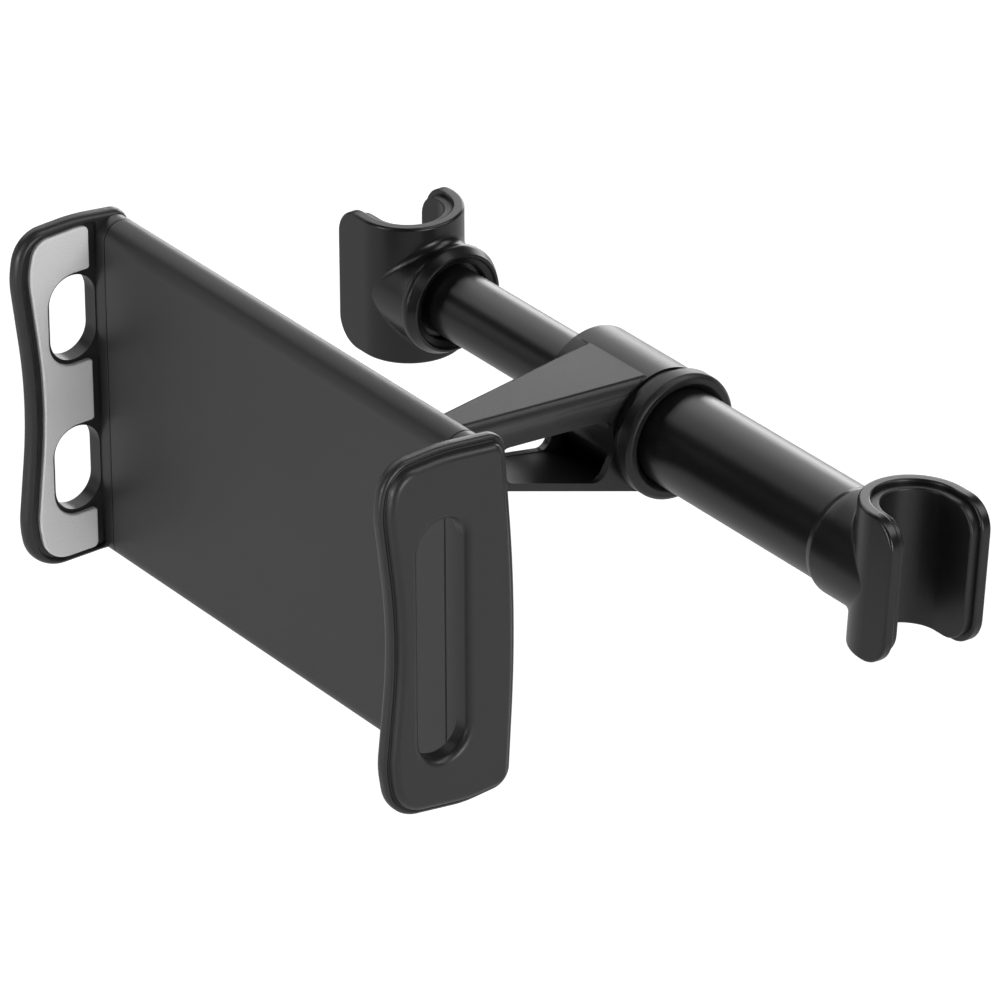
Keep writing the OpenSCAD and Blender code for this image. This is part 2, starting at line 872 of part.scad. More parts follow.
// Row of rack teeth on the pitch line z = pitch_r, pointing down at the pinion,
// with one tooth right over the pinion's middle.
module rack_teeth(x0, x1) {
  p = PI * gear_module;
  half = p / 4 - 0.08;
  lean = tan(20) * gear_module;
  top = pitch_r - gear_module;
  first = ceil((x0 + p / 2) / p);
  last = floor((x1 - p / 2) / p);
  for (k = [first : last])
    translate([k * p, 0, 0]) along_y(arm_front, arm_back) polygon([
      [-half - 1.25 * lean - e, rack_root_z + e],
      [-half + lean, top],
      [half - lean, top],
      [half + 1.25 * lean + e, rack_root_z + e]
    ]);
}

// Rack arm above the pinion and plain guide arm below it, as on the left jaw.
// The arms start at x = -plate_half and run to the right.
module jaw_arms() {
  x0 = -plate_half - seam - 0.5;
  translate([x0, arm_front, rack_root_z])
    cube([rack_len, arm_back - arm_front, rack_back_z - rack_root_z]);
  rack_teeth(x0 + 6, x0 + rack_len - 1);
  translate([lug_reach - plate_half, 0, spring_z]) cyl_y(arm_front, arm_back, 1);
  translate([lug_reach - plate_half - 0.8, arm_front, rack_back_z - e])
    cube([1.6, (arm_back - arm_front) / 2 - 0.5, spring_z - rack_back_z + e]);
  translate([x0, arm_front, -guide_out_z])
    cube([guide_len, arm_back - arm_front, guide_out_z - guide_in_z]);
}

// Wall, rim and base strip of a jaw, without its slots.
module jaw_wall() {
  difference() {
    union() {
      along_x(rim_in, rim_out) polygon(rounded(jaw_corners));
      along_x(rim_out - e, panel_out) polygon(rounded(inset(jaw_corners, panel_step)));
      along_x(seam, rim_out) plate_section();
    }
    intersection() {
      along_x(rim_in - 1, wall_in) polygon(rounded(inset(jaw_corners, rim_w)));
      translate([0, -60.2, -60]) cube([20, 60, 120]);
    }
  }
}

// Slot through a jaw's wall, its front edge so far ahead of the plate's face.
module jaw_slot(front, w, h, z) {
  along_x(strip_w, panel_out + 1) translate([-front + w / 2, z]) stadium(w, h);
}

module pad_blank() {
  intersection() {
    along_x(strip_w, wall_in) polygon(rounded(inset(jaw_corners, rim_w + pad_gap)));
    translate([0, -60 - 0.2 - pad_gap, -60]) cube([20, 60, 120]);
  }
}

// Notch in a pad, open towards the plate and a little larger than the slot behind it.
module pad_notch(front, w, h, z) {
  along_x(strip_w - 1, wall_in + 1) translate([-front + w / 2, z]) {
    stadium(w + 1.6, h + 1.6);
    translate([0, -h / 2 - 0.8]) square([30, h + 1.6]);
  }
}

module right_side() {
  at_plate() translate([plate_half, 0, 0]) children();
}

module left_side() {
  at_plate() translate([-plate_half, 0, 0]) mirror([1, 0, 0]) children();
}

module right_jaw() {
  color([0.13, 0.13, 0.13]) union() {
    right_side() difference() {
      jaw_wall();
      jaw_slot(slot_front, slot_w, slot_h, slot_z);
    }
    at_plate() rotate([0, 180, 0]) jaw_arms();
  }
}

module right_pad() {
  color([0.75, 0.75, 0.75]) right_side() difference() {
    pad_blank();
    pad_notch(slot_front, slot_w, slot_h, slot_z);
  }
}

module left_jaw() {
  color([0.13, 0.13, 0.13]) union() {
    left_side() difference() {
      jaw_wall();
      for (s = [-1, 1]) jaw_slot(hole_front, hole_w, hole_h, hole_z + s * hole_pitch / 2);
    }
    at_plate() jaw_arms();
  }
}

module left_pad() {
  color([0.75, 0.75, 0.75]) left_side() difference() {
    pad_blank();
    for (s = [-1, 1]) pad_notch(hole_front, hole_w, hole_h, hole_z + s * hole_pitch / 2);
  }
}

// jaw drive

// Half angle of an involute tooth at radius r, in degrees.
function involute(a) = tan(a) - a * PI / 180;
function tooth_half(r) =
  let (base = pitch_r * cos(20))
  90 / pinion_teeth - 0.6
    + (involute(20) - (r > base ? involute(acos(base / r)) : 0)) * 180 / PI;

// Pinion that keeps the jaws in step, with a space at its top and its bottom.
module sync_pinion() {
  root = pitch_r - 1.25 * gear_module;
  tip = pitch_r + gear_module;
  base = pitch_r * cos(20);
  radii = [for (i = [0 : 4]) max(base, root) + (tip - max(base, root)) * i / 4];
  color("gainsboro") at_plate()
    difference() {
      along_y(arm_front, arm_back) polygon([for (k = [0 : pinion_teeth - 1])
        let (c = 90 + 360 * k / pinion_teeth + 180 / pinion_teeth)
        each concat(
          [root * [cos(c - tooth_half(base)), sin(c - tooth_half(base))]],
          [for (r = radii) r * [cos(c - tooth_half(r)), sin(c - tooth_half(r))]],
          [for (i = [4 : -1 : 0]) let (r = radii[i])
            r * [cos(c + tooth_half(r)), sin(c + tooth_half(r))]],
          [root * [cos(c + tooth_half(base)), sin(c + tooth_half(base))]]
        )]);
      cyl_y(0, 10, pinion_pin_r + run_fit);
    }
}

// Helix of wire along X as a swept hexagon.
module coil(len_x, r, wire, turns) {
  steps = 12;
  n = turns * steps;
  points = [for (i = [0 : n]) for (j = [0 : 5])
    let (a = 360 * i / steps, b = 60 * j, rr = r + wire * cos(b))
    [len_x * i / n + wire * sin(b), rr * cos(a), rr * sin(a)]];
  sides = [for (i = [0 : n - 1]) for (j = [0 : 5])
    [6 * i + j, 6 * i + (j + 1) % 6, 6 * (i + 1) + (j + 1) % 6, 6 * (i + 1) + j]];
  ends = [[for (j = [5 : -1 : 0]) j], [for (j = [0 : 5]) 6 * n + j]];
  polyhedron(points, concat(sides, ends));
}

// Extension spring between a jaw's lug and its post, closed as drawn.
module jaw_spring() {
  mid_r = spring_r - spring_wire_r;
  x0 = lug_reach - plate_half;
  loop_r = 1 + spring_wire_r + 0.1;
  coil_len = spring_len - 2 * loop_r - 1.2;
  color("silver") translate([x0, (arm_front + arm_back) / 2, spring_z]) {
    translate([loop_r + 0.6, 0, 0]) coil(coil_len, mid_r, spring_wire_r, spring_coils);
    for (x = [0, spring_len]) translate([x, 0, 0]) rotate([90, 0, 0])
      rotate_extrude() translate([loop_r, 0]) circle(r = spring_wire_r);
    for (x = [loop_r, spring_len - loop_r - 0.7]) cyl_x_at(x, 0.7);
    for (x = [loop_r + 0.6, spring_len - loop_r - 0.6])
      translate([x, 0, 0]) rotate([-90, 0, 0]) cylinder(h = mid_r, r = spring_wire_r);
  }
}

module cyl_x_at(x, length) {
  cyl_x(x, x + length, spring_wire_r);
}

module left_jaw_spring() {
  at_plate() jaw_spring();
}

module right_jaw_spring() {
  at_plate() rotate([0, 180, 0]) jaw_spring();
}

outer_tube();
tube_guide_bush();
right_hook();
right_hook_liner();
right_tube_plug();
right_hook_screw();
inner_tube();
left_hook();
left_hook_liner();
left_tube_plug();
left_hook_screw();
expander_stud();
lock_collet();
arm_body();
flange_ring();
sleeve_bush();
ball_stud();
stud_nut();
ball_seat();
ball_ring();
front_shell();
rear_cover();
cover_screw_1();
cover_screw_2();
cover_screw_3();
cover_screw_4();
lock_nut();
right_jaw();
right_pad();
left_jaw();
left_pad();
sync_pinion();
left_jaw_spring();
right_jaw_spring();
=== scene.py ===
# %% [markdown]
# # A tablet holder for a car headrest
#
# The real holder is a telescopic bar that hooks onto the two posts of a headrest, a
# hollow arm that turns on the bar, and a cradle whose two jaws grip a tablet by its
# ends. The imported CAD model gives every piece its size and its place. This script
# loads those pieces, gives each one its finish, and works out again, as rounded
# surfaces, the mouldings whose edges the light picks out.
#
# All lengths are metres, in the CAD frame: the origin lies in the right-hand post
# channel, X runs along the bar, Y points away from the tablet and Z is up. Outlines
# are worked out in millimetres.

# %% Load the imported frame
import json
import math

import bmesh
import bpy
import numpy as np
from mathutils import Matrix, Vector
from mathutils.geometry import tessellate_polygon

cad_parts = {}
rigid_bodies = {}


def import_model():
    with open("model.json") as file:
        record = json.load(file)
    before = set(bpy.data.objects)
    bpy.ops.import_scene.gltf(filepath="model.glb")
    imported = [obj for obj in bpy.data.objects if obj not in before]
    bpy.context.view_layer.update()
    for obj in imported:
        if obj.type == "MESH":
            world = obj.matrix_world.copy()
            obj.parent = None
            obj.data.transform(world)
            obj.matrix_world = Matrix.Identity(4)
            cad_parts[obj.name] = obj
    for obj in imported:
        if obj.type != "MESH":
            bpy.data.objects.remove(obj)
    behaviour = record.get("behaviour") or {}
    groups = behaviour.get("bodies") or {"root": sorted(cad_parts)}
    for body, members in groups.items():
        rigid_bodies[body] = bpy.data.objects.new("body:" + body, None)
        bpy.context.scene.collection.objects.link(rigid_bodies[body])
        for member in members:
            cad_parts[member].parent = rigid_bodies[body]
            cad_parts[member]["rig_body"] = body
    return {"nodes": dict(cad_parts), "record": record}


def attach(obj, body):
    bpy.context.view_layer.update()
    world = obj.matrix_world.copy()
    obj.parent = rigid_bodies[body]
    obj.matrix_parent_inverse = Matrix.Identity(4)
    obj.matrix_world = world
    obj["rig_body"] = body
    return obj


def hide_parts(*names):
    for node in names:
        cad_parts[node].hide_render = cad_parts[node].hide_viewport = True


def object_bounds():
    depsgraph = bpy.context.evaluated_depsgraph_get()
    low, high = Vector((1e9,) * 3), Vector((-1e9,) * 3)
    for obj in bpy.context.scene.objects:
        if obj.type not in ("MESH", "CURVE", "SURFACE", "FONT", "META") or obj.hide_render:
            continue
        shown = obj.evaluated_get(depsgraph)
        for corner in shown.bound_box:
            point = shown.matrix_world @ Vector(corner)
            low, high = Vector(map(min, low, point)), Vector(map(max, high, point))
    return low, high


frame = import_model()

MM = 0.001
nodes = frame["nodes"]
cad_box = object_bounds()
print("CAD box", [[round(c, 4) for c in corner] for corner in cad_box])

# %% [markdown]
# ## Camera
#
# The photograph was taken with a long lens, from the right, in front and above. Such
# a view could be set by hand until it looks right. A camera fitted to the straight
# edges of the bar, the plate and the arm is better, because the render then lies over
# the photograph to about two pixels and can be compared with it. The turn is written
# as three angles, as a photographer would give them: azimuth, elevation and a slight
# roll.

# %% Camera
CAMERA_PLACE = (0.90763, -0.79420, 0.68551)
CAMERA_AZIMUTH = 52.456
CAMERA_ELEVATION = 29.066
CAMERA_ROLL = -0.225
FOCAL_MM = 267.5
SENSOR_MM = 36.0


def direction(azimuth, elevation):
    """Unit vector towards an azimuth a from -Y towards +X and an elevation e, both in
    radians: (sin a cos e, -cos a cos e, sin e)."""
    a, e = azimuth, elevation
    return Vector((math.sin(a) * math.cos(e), -math.cos(a) * math.cos(e), math.sin(e)))


def camera_turn(azimuth, elevation, roll):
    """Columns right, up and back of a camera that stands in a direction given in
    degrees. Back is that direction, level is (cos a, sin a, 0) and upright is back x
    level; a roll r gives right = level cos r + upright sin r and up = upright cos r -
    level sin r."""
    a, e, r = (math.radians(v) for v in (azimuth, elevation, roll))
    back = direction(a, e)
    level = Vector((math.cos(a), math.sin(a), 0.0))
    upright = back.cross(level)
    right = level * math.cos(r) + upright * math.sin(r)
    up = upright * math.cos(r) - level * math.sin(r)
    return Matrix((right, up, back)).transposed()


camera_data = bpy.data.cameras.new("camera")
camera_data.sensor_width = SENSOR_MM
camera_data.lens = FOCAL_MM
camera_data.clip_start = 0.05
camera_data.clip_end = 20.0
camera = bpy.data.objects.new("camera", camera_data)
camera.matrix_world = (
    Matrix.Translation(CAMERA_PLACE)
    @ camera_turn(CAMERA_AZIMUTH, CAMERA_ELEVATION, CAMERA_ROLL).to_4x4()
)
bpy.context.scene.collection.objects.link(camera)
bpy.context.scene.camera = camera
print("camera stands", round(Vector(CAMERA_PLACE).length, 3), "m from the right post")

# %% [markdown]
# ## Soft boxes
#
# Black plastic shows mostly what it mirrors, so the lamps draw it more than its own
# colour does. An image of a studio round the scene could do this, but area lamps can
# be moved and dimmed one by one. Eight stand round the holder at three heights. The
# low ones light the upright faces of the plate, the jaws and the hooks, and the high
# ones behind draw the bright line along the top edges. Their watts are balanced so
# that each face comes near its tone in the photograph.

# %% Soft boxes
CENTRE = Vector((-0.075, -0.04, 0.005))
LAMP_DISTANCE = 1.5
SOFT_BOXES = {
    # name: azimuth and elevation in degrees, width and height in metres, watts
    "front_low": (0, 8, 0.6, 0.6, 9.5),
    "front_high": (0, 38, 0.6, 0.6, 1.7),
    "right_low": (90, 8, 0.6, 0.6, 9.5),
    "right_back": (143, 38, 0.8, 0.6, 4.7),
    "top": (135, 66, 0.6, 0.6, 3.7),
    "back_low": (216, 8, 1.0, 0.6, 8.5),
    "back_high": (252, 38, 1.9, 0.6, 7.4),
    "left_low": (300, 8, 0.6, 0.6, 1.3),
}


def soft_box(name, place, target, width, height, watts):
    """A rectangular area lamp whose -Z axis points from place at target."""
    data = bpy.data.lights.new(name, "AREA")
    data.shape = "RECTANGLE"
    data.size = width
    data.size_y = height
    data.energy = watts
    lamp = bpy.data.objects.new(name, data)
    turn = (target - place).to_track_quat("-Z", "Y").to_matrix().to_4x4()
    lamp.matrix_world = Matrix.Translation(place) @ turn
    bpy.context.scene.collection.objects.link(lamp)


for name, (azimuth, elevation, width, height, watts) in SOFT_BOXES.items():
    way = direction(math.radians(azimuth), math.radians(elevation))
    soft_box(name, CENTRE + way * LAMP_DISTANCE, CENTRE, width, height, watts)
print(len(SOFT_BOXES), "soft boxes,", round(sum(box[-1] for box in SOFT_BOXES.values()), 1), "W")

# %% [markdown]
# ## Room and floor
#
# The photograph's background is plain white, yet the undersides of the tubes are
# nearly black, so the white can't be what the plastic mirrors. Light Path tells the
# camera's rays from all others: the camera sees a white room, and every other ray,
# the glossy ones too, one that is nearly black. The pale floor gives the undersides a
# faint glow. It also lies below the cradle when the arm hangs straight down with the
# jaws open, 114 mm below the rest box.

# %% Room
ROOM_GREY = 0.01

world = bpy.data.worlds.new("studio")
world.use_nodes = True
bpy.context.scene.world = world
background = world.node_tree.nodes["Background"]
background.inputs["Strength"].default_value = 1.0
light_path = world.node_tree.nodes.new("ShaderNodeLightPath")
pick = world.node_tree.nodes.new("ShaderNodeMix")
pick.data_type = "RGBA"
pick.inputs["A"].default_value = (ROOM_GREY, ROOM_GREY, ROOM_GREY, 1.0)
pick.inputs["B"].default_value = (1.0, 1.0, 1.0, 1.0)
world.node_tree.links.new(light_path.outputs["Is Camera Ray"], pick.inputs["Factor"])
world.node_tree.links.new(pick.outputs["Result"], background.inputs["Color"])
bpy.context.scene.view_settings.view_transform = "Standard"
print("the object sees a room of", ROOM_GREY, "and the camera one of 1.0")

# %% Floor
FLOOR_DROP = 0.12
FLOOR_SIZE = 6.0

floor_z = cad_box[0][2] - FLOOR_DROP
floor_mesh = bpy.data.meshes.new("floor")
half = FLOOR_SIZE / 2
floor_corners = [(-half, -half), (half, -half), (half, half), (-half, half)]
floor_mesh.from_pydata([(x, y, floor_z) for x, y in floor_corners], [], [(0, 1, 2, 3)])
floor = bpy.data.objects.new("floor", floor_mesh)
bpy.context.scene.collection.objects.link(floor)
print("floor at", round(floor_z, 4))

# %% [markdown]
# ## Mould grain
#
# Every moulding has a grain: a fine even speckle from the spark-eroded mould, finer
# on the tubes than on the arm. An image of such a grain would repeat and would need
# a UV map. A noise on Object coordinates needs neither and has its true size on every
# piece. One node group makes it, with the grain's size as an input. A second, much
# larger and fainter noise lets the gloss wander a little, as it does on real plastic.

# %% Shared grain group
WANDER_SCALE = 45.0


def grain_group():
    """Node group with two outputs on Object coordinates: Height is a fine noise of
    scale 1000 / grain size, and Roughness = base + wander * (broad noise - 0.5)."""
    tree = bpy.data.node_groups.new("moulded_grain", "ShaderNodeTree")
    for name, value in (("Grain size mm", 0.3), ("Roughness", 0.4), ("Wander", 0.1)):
        socket = tree.interface.new_socket(name, in_out="INPUT", socket_type="NodeSocketFloat")
        socket.default_value = value
    for name in ("Height", "Roughness"):
        tree.interface.new_socket(name, in_out="OUTPUT", socket_type="NodeSocketFloat")
    new, link = tree.nodes.new, tree.links.new
    entry = new("NodeGroupInput")
    leave = new("NodeGroupOutput")
    coords = new("ShaderNodeTexCoord")
    scale = new("ShaderNodeMath")
    scale.operation = "DIVIDE"
    scale.inputs[0].default_value = 1.0 / MM
    link(entry.outputs["Grain size mm"], scale.inputs[1])
    fine = new("ShaderNodeTexNoise")
    fine.inputs["Detail"].default_value = 2.0
    fine.inputs["Roughness"].default_value = 0.55
    link(coords.outputs["Object"], fine.inputs["Vector"])
    link(scale.outputs["Value"], fine.inputs["Scale"])
    broad = new("ShaderNodeTexNoise")
    broad.inputs["Scale"].default_value = WANDER_SCALE
    broad.inputs["Detail"].default_value = 3.0
    link(coords.outputs["Object"], broad.inputs["Vector"])
    centred = new("ShaderNodeMath")
    centred.operation = "SUBTRACT"
    centred.inputs[1].default_value = 0.5
    link(broad.outputs["Fac"], centred.inputs[0])
    wander = new("ShaderNodeMath")
    wander.operation = "MULTIPLY_ADD"
    link(centred.outputs["Value"], wander.inputs[0])
    link(entry.outputs["Wander"], wander.inputs[1])
    link(entry.outputs["Roughness"], wander.inputs[2])
    link(fine.outputs["Fac"], leave.inputs["Height"])
    link(wander.outputs["Value"], leave.inputs["Roughness"])
    return tree


GRAIN = grain_group()
print("group", GRAIN.name, "has", len(GRAIN.nodes), "nodes")

# %% [markdown]
# ## Finishes
#
# The holder has many blacks. The tubes and the hooks are the glossiest, the plate and
# the ring are duller, and the pads are a pale, matt silicone. Each could be a material
# of its own, built by hand. They differ only in a few values, so one function builds
# them all from a table, and the grain that they share stays one kind.

# %% Materials from one table
GRAIN_HEIGHT = 0.00005
TONE_LOW, TONE_HIGH = 0.85, 1.15


def moulded(name, color, roughness, grain_mm, depth, wander, metallic=0.0):
    """A plastic, rubber or metal finish with the shared grain: the linear color is
    multiplied by a factor from TONE_LOW to TONE_HIGH that follows the grain, and depth
    is the strength of the grain's bump."""
    material = bpy.data.materials.new(name)
    material.use_nodes = True
    tree = material.node_tree
    shader = tree.nodes["Principled BSDF"]
    shader.inputs["Metallic"].default_value = metallic
    grain = tree.nodes.new("ShaderNodeGroup")
    grain.node_tree = GRAIN
    grain.inputs["Grain size mm"].default_value = grain_mm
    grain.inputs["Roughness"].default_value = roughness
    grain.inputs["Wander"].default_value = wander
    bump = tree.nodes.new("ShaderNodeBump")
    bump.inputs["Strength"].default_value = depth
    bump.inputs["Distance"].default_value = GRAIN_HEIGHT
    tone = tree.nodes.new("ShaderNodeMix")
    tone.data_type = "RGBA"
    tone.inputs["A"].default_value = (*[TONE_LOW * c for c in color], 1.0)
    tone.inputs["B"].default_value = (*[TONE_HIGH * c for c in color], 1.0)
    tree.links.new(grain.outputs["Height"], tone.inputs["Factor"])
    tree.links.new(tone.outputs["Result"], shader.inputs["Base Color"])
    tree.links.new(grain.outputs["Height"], bump.inputs["Height"])
    tree.links.new(bump.outputs["Normal"], shader.inputs["Normal"])
    tree.links.new(grain.outputs["Roughness"], shader.inputs["Roughness"])
    return material


def grey(value):
    return (value, value, value)


FINISHES = {
    # name: colour, roughness, grain size in mm, grain depth, wander, metallic
    "tube_black": (grey(0.009), 0.30, 0.25, 0.12, 0.05),
    "hook_gloss_black": (grey(0.007), 0.31, 0.5, 0.10, 0.08),
    "liner_rubber": (grey(0.010), 0.38, 0.4, 0.5, 0.1),
    "plain_black_plastic": (grey(0.020), 0.45, 0.3, 0.2, 0.1),
    "arm_black": (grey(0.011), 0.34, 0.35, 0.5, 0.1),
    "ring_black": (grey(0.012), 0.42, 0.3, 0.2, 0.1),
    "plate_black": (grey(0.026), 0.42, 0.3, 0.4, 0.08),
    "jaw_black": (grey(0.021), 0.38, 0.35, 0.4, 0.1),
    "grey_silicone": (grey(0.88), 0.6, 0.3, 0.15, 0.05),
    "pale_plastic": ((0.70, 0.70, 0.68), 0.4, 0.3, 0.2, 0.1),
    "steel": ((0.55, 0.55, 0.56), 0.35, 0.4, 0.1, 0.1, 1.0),
}
finishes = {name: moulded(name, *values) for name, values in FINISHES.items()}
slot_of = {s["node"]: s["material_slot"] for s in frame["record"]["subparts"]}

for name, obj in nodes.items():
    obj.data.materials.clear()
    obj.data.materials.append(finishes[slot_of[name]])
print("finished", len(nodes), "CAD nodes in", len(finishes), "materials")

# %% [markdown]
# ## Floor paper
#
# The floor is a matt sheet that reads white and still holds the holder's shadow. More
# light would make it white too, but would also lighten the blacks. Instead the sheet
# shows a little light of its own, to the camera's rays only.

# %% Floor paper
FLOOR_COLOR = 0.85
FLOOR_LIFT = 0.45


def paper(name, color, lift):
    """Matt sheet: what it scatters of the light, plus lift for camera rays only."""
    material = bpy.data.materials.new(name)
    material.use_nodes = True
    tree = material.node_tree
    shader = tree.nodes["Principled BSDF"]
    shader.inputs["Base Color"].default_value = (*grey(color), 1.0)
    shader.inputs["Roughness"].default_value = 1.0
    shader.inputs["Specular IOR Level"].default_value = 0.0
    rays = tree.nodes.new("ShaderNodeLightPath")
    shade = tree.nodes.new("ShaderNodeMix")
    shade.data_type = "RGBA"
    shade.inputs["A"].default_value = (0.0, 0.0, 0.0, 1.0)
    shade.inputs["B"].default_value = (*grey(lift), 1.0)
    tree.links.new(rays.outputs["Is Camera Ray"], shade.inputs["Factor"])
    tree.links.new(shade.outputs["Result"], shader.inputs["Emission Color"])
    shader.inputs["Emission Strength"].default_value = 1.0
    return material


floor_mesh.materials.append(paper("floor_paper", FLOOR_COLOR, FLOOR_LIFT))
print("floor paper scatters", FLOOR_COLOR, "and shows", FLOOR_LIFT, "of its own")

# %% [markdown]
# ## Outlines with rounded corners
#
# A moulding's outline is a list of corners, each with its own radius. It could be
# traced with many points, but a corner and a radius can be read off the photograph
# and changed by hand. The arc that rounds a corner of half angle h with radius r
# starts r / tan(h) away from it, and its middle lies r / sin(h) away along the
# bisector. A parallel outline keeps the same corners moved along both neighbouring
# normals, with radii smaller or larger by the same distance, so nested outlines keep
# one width between them.

# %% Rounded and parallel outlines
LEAST_RADIUS = 0.2


def unit(v):
    return v / np.linalg.norm(v)


def rounded(corners, steps=14):
    """Closed outline (n x 2) from corners (y, z, radius) listed anticlockwise. Each arc
    runs from the first tangent point through the angle pi - 2 h about its middle."""
    points, n = [], len(corners)
    for i in range(n):
        a, b, c = (np.array(corners[k % n][:2], float) for k in (i - 1, i, i + 1))
        radius = corners[i][2]
        u, v = unit(a - b), unit(c - b)
        half = math.acos(max(-1.0, min(1.0, float(u @ v)))) / 2
        start = b + u * radius / math.tan(half)
        middle = b + unit(u + v) * radius / math.sin(half)
        first = math.atan2(*(start - middle)[::-1])
        sweep = (math.pi - 2 * half) * np.sign(u[1] * v[0] - u[0] * v[1])
        angles = first + sweep * np.linspace(0.0, 1.0, steps + 1)
        points.append(middle + radius * np.column_stack([np.cos(angles), np.sin(angles)]))
    return np.vstack(points)


def inset(corners, d):
    """The same corners moved inward by d, one distance or one for each edge (edge i
    runs from corner i to the next). With the mean m and half the difference k of the
    two neighbours, the corner moves by m (n1 + n2) / (1 + n1.n2) + k (n1 - n2) /
    (1 - n1.n2). Convex radii shrink by m, hollow ones grow."""
    moved, n = [], len(corners)
    depth = np.broadcast_to(np.asarray(d, float), (n,))
    for i in range(n):
        a, b, c = (np.array(corners[k % n][:2], float) for k in (i - 1, i, i + 1))
        e1, e2 = unit(b - a), unit(c - b)
        n1, n2 = np.array([-e1[1], e1[0]]), np.array([-e2[1], e2[0]])
        mean, skew = (depth[i - 1] + depth[i]) / 2, (depth[i - 1] - depth[i]) / 2
        p = b + mean * (n1 + n2) / (1 + n1 @ n2)
        if skew:
            p = p + skew * (n1 - n2) / (1 - n1 @ n2)
        convex = np.sign(n1[0] * n2[1] - n1[1] * n2[0])
        moved.append((p[0], p[1], max(LEAST_RADIUS, corners[i][2] - mean * convex)))
    return moved


square = rounded([(0, 0, 2), (10, 0, 2), (10, 10, 2), (0, 10, 2)])
girth = np.linalg.norm(np.roll(square, -1, axis=0) - square, axis=1).sum()
print("a 10 mm square with 2 mm corners is", round(float(girth), 2), "mm round")

# %% Slots and small arcs
def stadium(width, height, middle, grow=0.0, steps=28):
    """Outline of an upright slot, larger by grow all round: two half circles of radius
    width / 2 + grow, whose centres lie (height - width) / 2 above and below middle."""
    r = width / 2 + grow
    turn = np.linspace(0.0, math.pi, steps + 1)
    lift = (height - width) / 2
    top = np.column_stack([r * np.cos(turn), r * np.sin(turn) + lift])
    return np.vstack([top, -top]) + np.array(middle)


def fillet(centre, radius, from_deg, to_deg, steps=5):
    """Points centre + radius (cos t, sin t) of a small arc in (u, d)."""
    angles = np.radians(np.linspace(from_deg, to_deg, steps + 1))
    return [(centre[0] + radius * math.cos(t), centre[1] + radius * math.sin(t)) for t in angles]


print("a slot of 10 x 50 mm has", len(stadium(10.0, 50.0, (0.0, 0.0))), "points")

# %% [markdown]
# ## From outlines to pieces
#
# A skin gathers rings of points, and quads join one ring to the next. A flat end
# between an outer ring and its holes has no such pairs of points, so it is filled with
# triangles. The piece made of it takes the place of one CAD node, on the body that the
# node rides on. Welding comes first, so that the shading runs on across the joints.

# %% Skins
class Skin:
    """Vertices and faces of one piece, gathered in millimetres."""

    def __init__(self):
        self.points, self.faces, self.count = [], [], 0

    def add(self, ring):
        """Take up the points of a ring and return their indices."""
        first = self.count
        self.points.append(np.asarray(ring, float))
        self.count += len(ring)
        return np.arange(first, first + len(ring))

    def strip(self, a, b, closed=True):
        """Quads a[i], a[i + 1], b[i + 1], b[i] between two rings of equal length."""
        quads = np.column_stack([a, np.roll(a, -1), np.roll(b, -1), b])
        self.faces += (quads if closed else quads[:-1]).tolist()

    def loft(self, rings):
        """Join closed rings one after the other and return their index rings."""
        indices = [self.add(r) for r in rings]
        for a, b in zip(indices, indices[1:]):
            self.strip(a, b)
        return indices

    def sheet(self, outer, holes=()):
        """Flat face inside the ring outer, with holes; all are index rings."""
        loops = [outer, *holes]
        flat = np.vstack(self.points)
        triangles = tessellate_polygon([[Vector(p) for p in flat[loop]] for loop in loops])
        self.faces += np.concatenate(loops)[np.array(triangles)].tolist()

    def take(self, work):
        """Take up the points and faces of a bmesh in metres, and free it."""
        mesh = bpy.data.meshes.new("taken")
        work.to_mesh(mesh)
        work.free()
        points = np.empty(len(mesh.vertices) * 3, np.float32)
        corners = np.empty(len(mesh.loops), np.int32)
        starts = np.empty(len(mesh.polygons), np.int32)
        mesh.vertices.foreach_get("co", points)
        mesh.loops.foreach_get("vertex_index", corners)
        mesh.polygons.foreach_get("loop_start", starts)
        bpy.data.meshes.remove(mesh)
        where = self.add(points.reshape(-1, 3).astype(float) / MM)
        self.faces += [face.tolist() for face in np.split(where[corners], starts[1:])]

    def place(self, matrix):
        """Turn and shift the points gathered so far by a 4x4 matrix in millimetres."""
        m = np.array(matrix)
        self.points = [p @ m[:3, :3].T + m[:3, 3] for p in self.points]

    def piece(self, name, node, slot):
        """Mesh object in metres that stands for a CAD node."""
        mesh = bpy.data.meshes.new(name)
        mesh.from_pydata((np.vstack(self.points) * MM).tolist(), [], self.faces)
        return finish_piece(mesh, name, node, slot)


# %% Finished pieces
WELD = 2e-6
FLAT_DEGREES = 0.2
body_of = {name: obj["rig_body"] for name, obj in nodes.items()}


def finish_piece(mesh, name, node, slot, bevel=0.0, segments=3, limit=35.0):
    """Weld, orient and shade a mesh and let it ride. Edges sharper than limit degrees
    are rounded by bevel millimetres, or stay sharp where bevel is 0."""
    work = bmesh.new()
    work.from_mesh(mesh)
    bmesh.ops.remove_doubles(work, verts=work.verts, dist=WELD)
    bmesh.ops.recalc_face_normals(work, faces=work.faces)
    work.to_mesh(mesh)
    work.free()
    mesh.polygons.foreach_set("use_smooth", np.ones(len(mesh.polygons), bool))
    if not bevel:
        mesh.set_sharp_from_angle(angle=math.radians(limit))
    obj = bpy.data.objects.new(name, mesh)
    bpy.context.scene.collection.objects.link(obj)
    if bevel:
        rounding = obj.modifiers.new("edges", "BEVEL")
        rounding.width = bevel * MM
        rounding.segments = segments
        rounding.limit_method = "ANGLE"
        rounding.angle_limit = math.radians(limit)
        rounding.harden_normals = True
    weighted = obj.modifiers.new("normals", "WEIGHTED_NORMAL")
    weighted.keep_sharp = True
    weighted.weight = 80
    mesh.materials.append(finishes[slot])
    body = body_of[node]
    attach(obj, body)
    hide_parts(node)
    print(name, "on", body, "has", len(mesh.polygons), "faces")
    return obj


